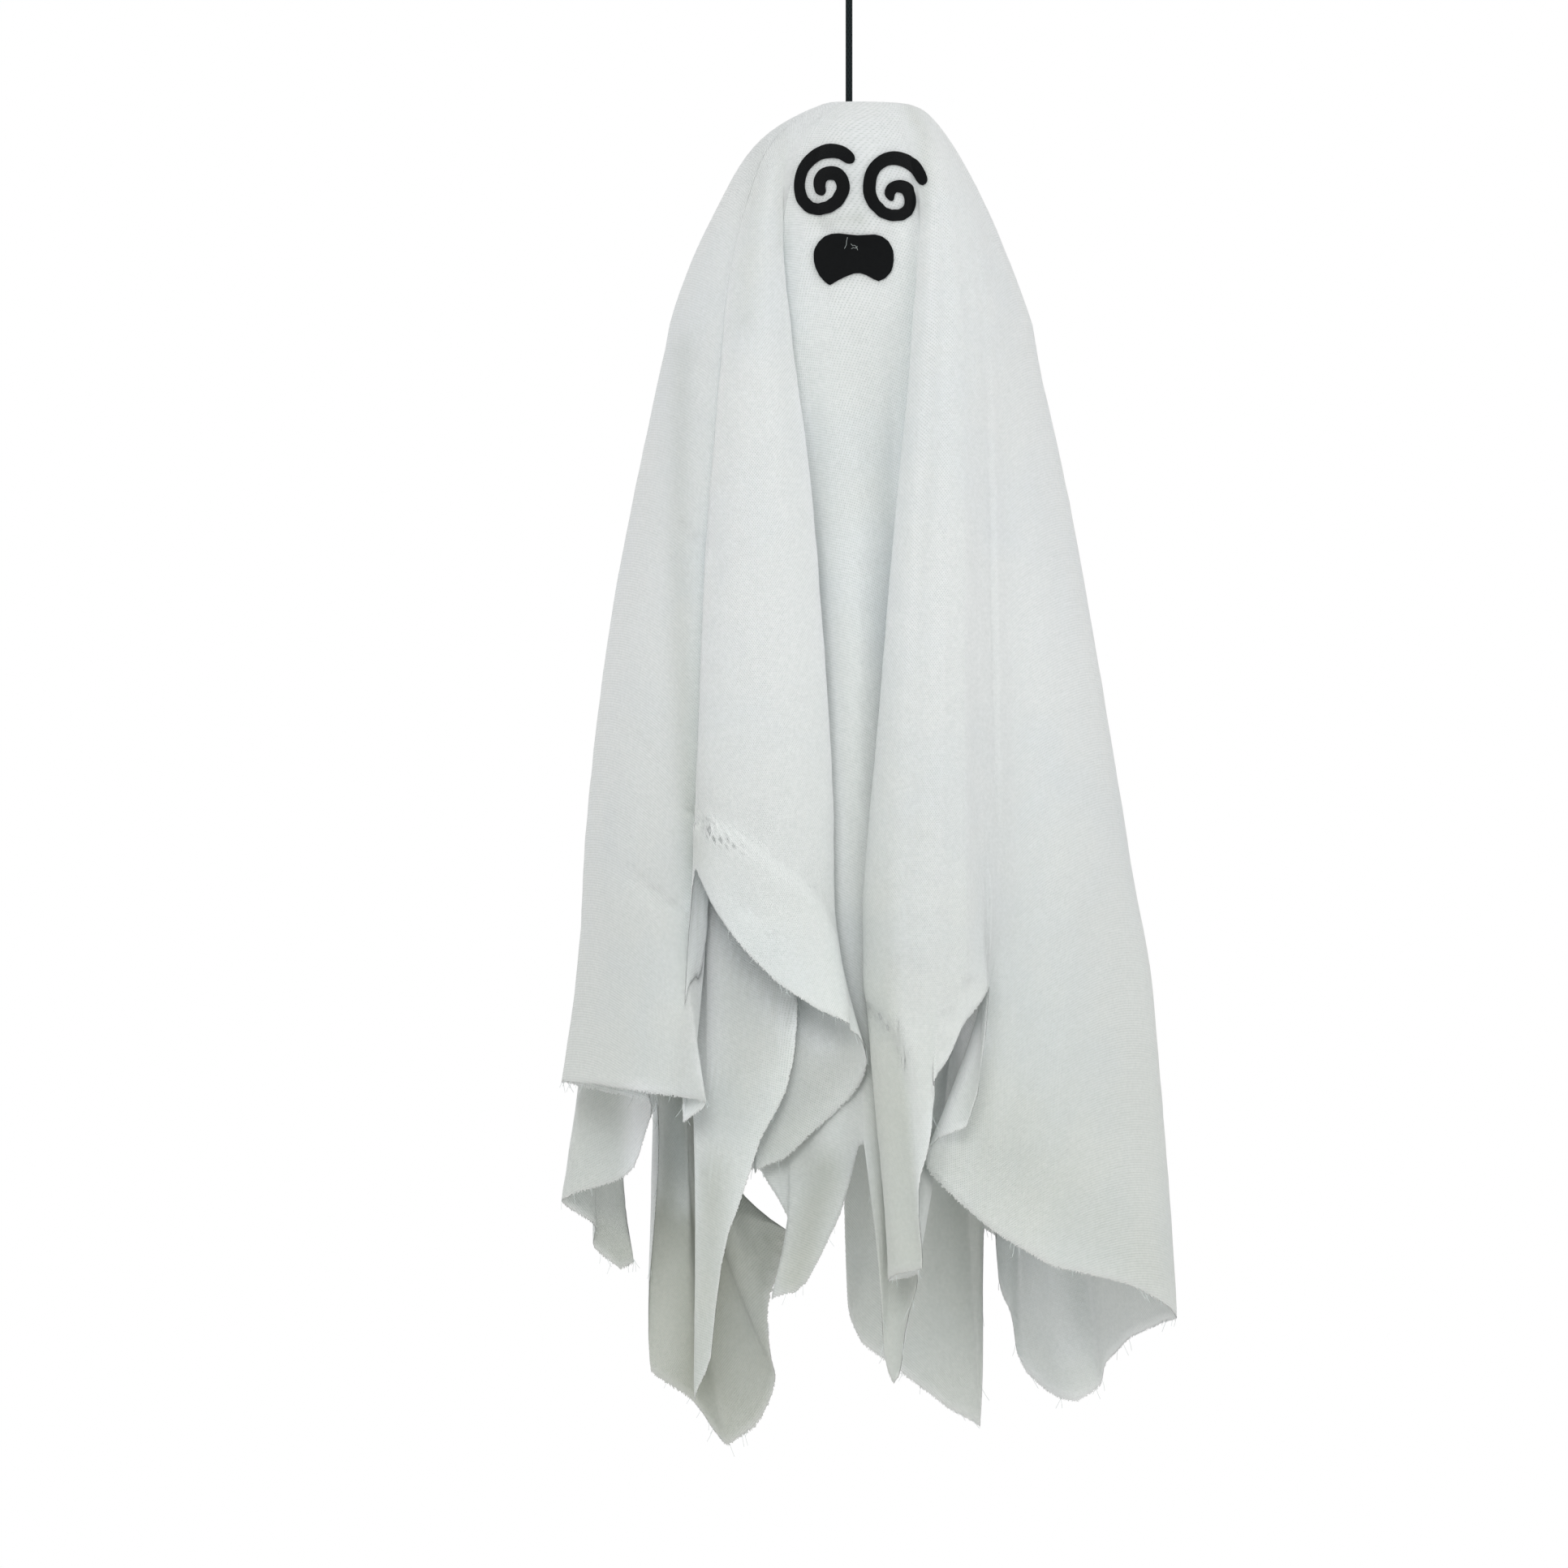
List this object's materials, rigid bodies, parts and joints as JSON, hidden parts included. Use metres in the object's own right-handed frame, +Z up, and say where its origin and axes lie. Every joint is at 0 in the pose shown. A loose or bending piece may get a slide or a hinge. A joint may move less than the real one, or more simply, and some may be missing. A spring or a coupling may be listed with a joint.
{
  "type": "animated hanging ghost decoration",
  "caption": "Hanging shaking ghost: thin white cloth draped over a motorised plastic head, with black felt eyes and mouth and a battery case under the chin.",
  "frame": {"origin": "the point of the hanging loop that bears on its hook, straight above the crown of the figure", "axes": "+Z up along the hanging cord, -Y the way the face looks, +X to the right when looking at the face"},
  "size_m": [0.2311, 0.1713, 0.5786],
  "materials": {
    "black_cord": "matt",
    "white_voile": "thin knit voile",
    "black_felt": "felt",
    "ivory_plastic": "satin moulded",
    "grey_plastic": "satin moulded",
    "black_plastic": "satin moulded",
    "motor_plastic": "satin moulded",
    "plated_steel": "zinc plated",
    "motor_steel": "plated sheet",
    "weight_brass": "turned",
    "contact_metal": "nickel plated",
    "green_board": "solder mask",
    "cell_wrap": "plain shrink wrap",
    "red_wire": "insulation",
    "black_wire": "insulation"
  },
  "bodies": {
    "loop": {"hanging_loop": "black_cord", "loop_knot": "black_cord"},
    "cord": {"hanging_cord": "black_cord"},
    "stopper": {"stopper_knot": "black_cord", "stopper_washer": "plated_steel"},
    "figure": {"ghost_cloth": "white_voile", "left_eye_felt": "black_felt", "right_eye_felt": "black_felt", "mouth_felt": "black_felt", "head_front_shell": "ivory_plastic", "head_back_shell": "ivory_plastic", "head_screw_1": "plated_steel", "head_screw_2": "plated_steel", "head_screw_3": "plated_steel", "head_screw_4": "plated_steel", "motor_can": "motor_steel", "motor_end_cap": "motor_plastic", "motor_cradle": "grey_plastic", "cradle_screw_1": "plated_steel", "cradle_screw_2": "plated_steel", "circuit_board": "green_board", "sound_sensor": "motor_steel", "board_screw_1": "plated_steel", "board_screw_2": "plated_steel", "battery_case": "grey_plastic", "left_cell": "cell_wrap", "right_cell": "cell_wrap", "positive_plate": "contact_metal", "negative_plate": "contact_metal", "bridge_plate": "contact_metal", "top_spring": "contact_metal", "bottom_spring": "contact_metal", "switch_body": "motor_steel", "motor_wire_red": "red_wire", "motor_wire_black": "black_wire", "switch_wire_1": "black_wire", "switch_wire_2": "black_wire"},
    "weight": {"motor_shaft": "plated_steel", "eccentric_weight": "weight_brass"},
    "door": {"battery_door": "grey_plastic"},
    "knob": {"switch_knob": "black_plastic"}
  },
  "joints": [
    {"name": "cord_swing", "type": "hinge", "parent": "loop", "child": "cord", "pos_m": [0, 0, -0.0256], "axis": [0, 1, 0], "range_deg": [-30, 30]},
    {"name": "head_nod", "type": "hinge", "parent": "cord", "child": "stopper", "pos_m": [0, 0, -0.068], "axis": [1, 0, 0], "range_deg": [-20, 20]},
    {"name": "figure_turn", "type": "hinge", "parent": "stopper", "child": "figure", "pos_m": [0, 0, -0.068], "axis": [0, 0, 1], "continuous": true},
    {"name": "weight_spin", "type": "hinge", "parent": "figure", "child": "weight", "pos_m": [0.004, 0, -0.0866], "axis": [0, 0, 1], "continuous": true},
    {"name": "battery_door_slide", "type": "slide", "parent": "figure", "child": "door", "axis": [0, 0, -1], "range_m": [0, 0.068]},
    {"name": "switch_slide", "type": "slide", "parent": "figure", "child": "knob", "axis": [1, 0, 0], "range_m": [0, 0.003]}
  ]
}
